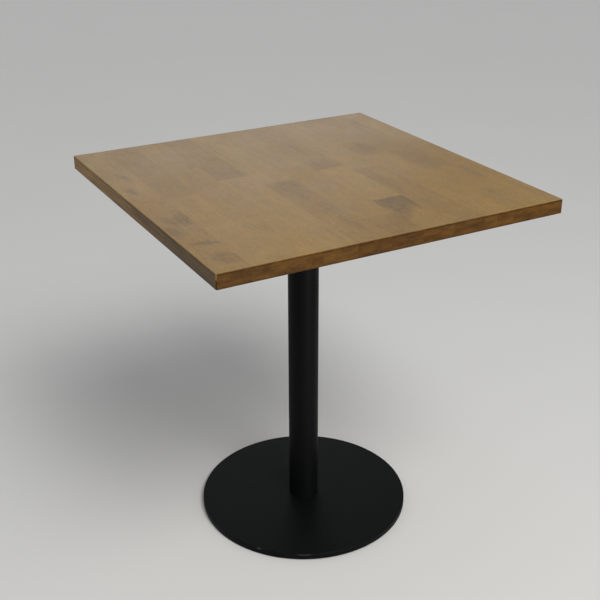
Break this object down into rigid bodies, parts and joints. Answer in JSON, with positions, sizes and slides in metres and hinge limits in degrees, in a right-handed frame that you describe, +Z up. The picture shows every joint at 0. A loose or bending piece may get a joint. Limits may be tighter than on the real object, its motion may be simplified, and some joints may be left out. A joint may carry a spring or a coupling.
{
  "type": "bistro table",
  "caption": "Square bistro table: a glued-up wooden top on a round black steel column and a flat round steel base with levelling glides.",
  "frame": {"origin": "on the floor, on the axis of the column", "axes": "+Z up; +X to the right along the front edge of the top; +Y to the back edge of the top, along the grain of the staves"},
  "size_m": [0.7, 0.7, 0.755],
  "materials": {
    "stained_wood": "satin varnish over a walnut-tinted stain, grain running front to back",
    "black_powder_coat": "satin black powder coat with a fine texture",
    "zinc_plated_steel": "zinc plated",
    "black_nylon": "matte moulded nylon"
  },
  "bodies": {
    "table": {"base_disc": "black_powder_coat", "column_tube": "black_powder_coat", "foot_plug": "zinc_plated_steel", "head_plug": "zinc_plated_steel", "top_spider": "black_powder_coat", "stave_1_block_1": "stained_wood", "stave_1_block_2": "stained_wood", "stave_2_block_1": "stained_wood", "stave_2_block_2": "stained_wood", "stave_3_block_1": "stained_wood", "stave_3_block_2": "stained_wood", "stave_4_block_1": "stained_wood", "stave_4_block_2": "stained_wood", "stave_5_block_1": "stained_wood", "stave_5_block_2": "stained_wood", "stave_6_block_1": "stained_wood", "stave_6_block_2": "stained_wood", "stave_7_block_1": "stained_wood", "stave_7_block_2": "stained_wood", "stave_7_block_3": "stained_wood", "stave_8_block_1": "stained_wood", "stave_8_block_2": "stained_wood", "stave_9_block_1": "stained_wood", "stave_9_block_2": "stained_wood", "stave_10_block_1": "stained_wood", "stave_10_block_2": "stained_wood", "stave_11_block_1": "stained_wood", "stave_11_block_2": "stained_wood", "foot_screw_1": "zinc_plated_steel", "foot_screw_2": "zinc_plated_steel", "foot_screw_3": "zinc_plated_steel", "head_screw_1": "zinc_plated_steel", "head_screw_2": "zinc_plated_steel", "head_screw_3": "zinc_plated_steel", "wood_screw_1": "zinc_plated_steel", "wood_screw_2": "zinc_plated_steel", "wood_screw_3": "zinc_plated_steel", "wood_screw_4": "zinc_plated_steel", "wood_screw_5": "zinc_plated_steel", "wood_screw_6": "zinc_plated_steel", "wood_screw_7": "zinc_plated_steel", "wood_screw_8": "zinc_plated_steel"},
    "glide_1": {"glide_pad_1": "black_nylon"},
    "glide_1_stud": {"glide_stud_1": "zinc_plated_steel"},
    "glide_2": {"glide_pad_2": "black_nylon"},
    "glide_2_stud": {"glide_stud_2": "zinc_plated_steel"},
    "glide_3": {"glide_pad_3": "black_nylon"},
    "glide_3_stud": {"glide_stud_3": "zinc_plated_steel"},
    "glide_4": {"glide_pad_4": "black_nylon"},
    "glide_4_stud": {"glide_stud_4": "zinc_plated_steel"}
  },
  "joints": [
    {"name": "glide_1_height", "type": "slide", "parent": "table", "child": "glide_1", "axis": [0, 0, -1], "range_m": [0, 0.003]},
    {"name": "glide_1_turn", "type": "hinge", "parent": "glide_1", "child": "glide_1_stud", "pos_m": [0.13081, 0.13081, 0.004], "axis": [0, 0, -1], "range_deg": [0, 865]},
    {"name": "glide_2_height", "type": "slide", "parent": "table", "child": "glide_2", "axis": [0, 0, -1], "range_m": [0, 0.003]},
    {"name": "glide_2_turn", "type": "hinge", "parent": "glide_2", "child": "glide_2_stud", "pos_m": [-0.13081, 0.13081, 0.004], "axis": [0, 0, -1], "range_deg": [0, 865]},
    {"name": "glide_3_height", "type": "slide", "parent": "table", "child": "glide_3", "axis": [0, 0, -1], "range_m": [0, 0.003]},
    {"name": "glide_3_turn", "type": "hinge", "parent": "glide_3", "child": "glide_3_stud", "pos_m": [-0.13081, -0.13081, 0.004], "axis": [0, 0, -1], "range_deg": [0, 865]},
    {"name": "glide_4_height", "type": "slide", "parent": "table", "child": "glide_4", "axis": [0, 0, -1], "range_m": [0, 0.003]},
    {"name": "glide_4_turn", "type": "hinge", "parent": "glide_4", "child": "glide_4_stud", "pos_m": [0.13081, -0.13081, 0.004], "axis": [0, 0, -1], "range_deg": [0, 865]}
  ],
  "couplings": [
    {"joint": "glide_1_turn", "follows": "glide_1_height", "rad_per_m": 5026.5},
    {"joint": "glide_2_turn", "follows": "glide_2_height", "rad_per_m": 5026.5},
    {"joint": "glide_3_turn", "follows": "glide_3_height", "rad_per_m": 5026.5},
    {"joint": "glide_4_turn", "follows": "glide_4_height", "rad_per_m": 5026.5}
  ]
}
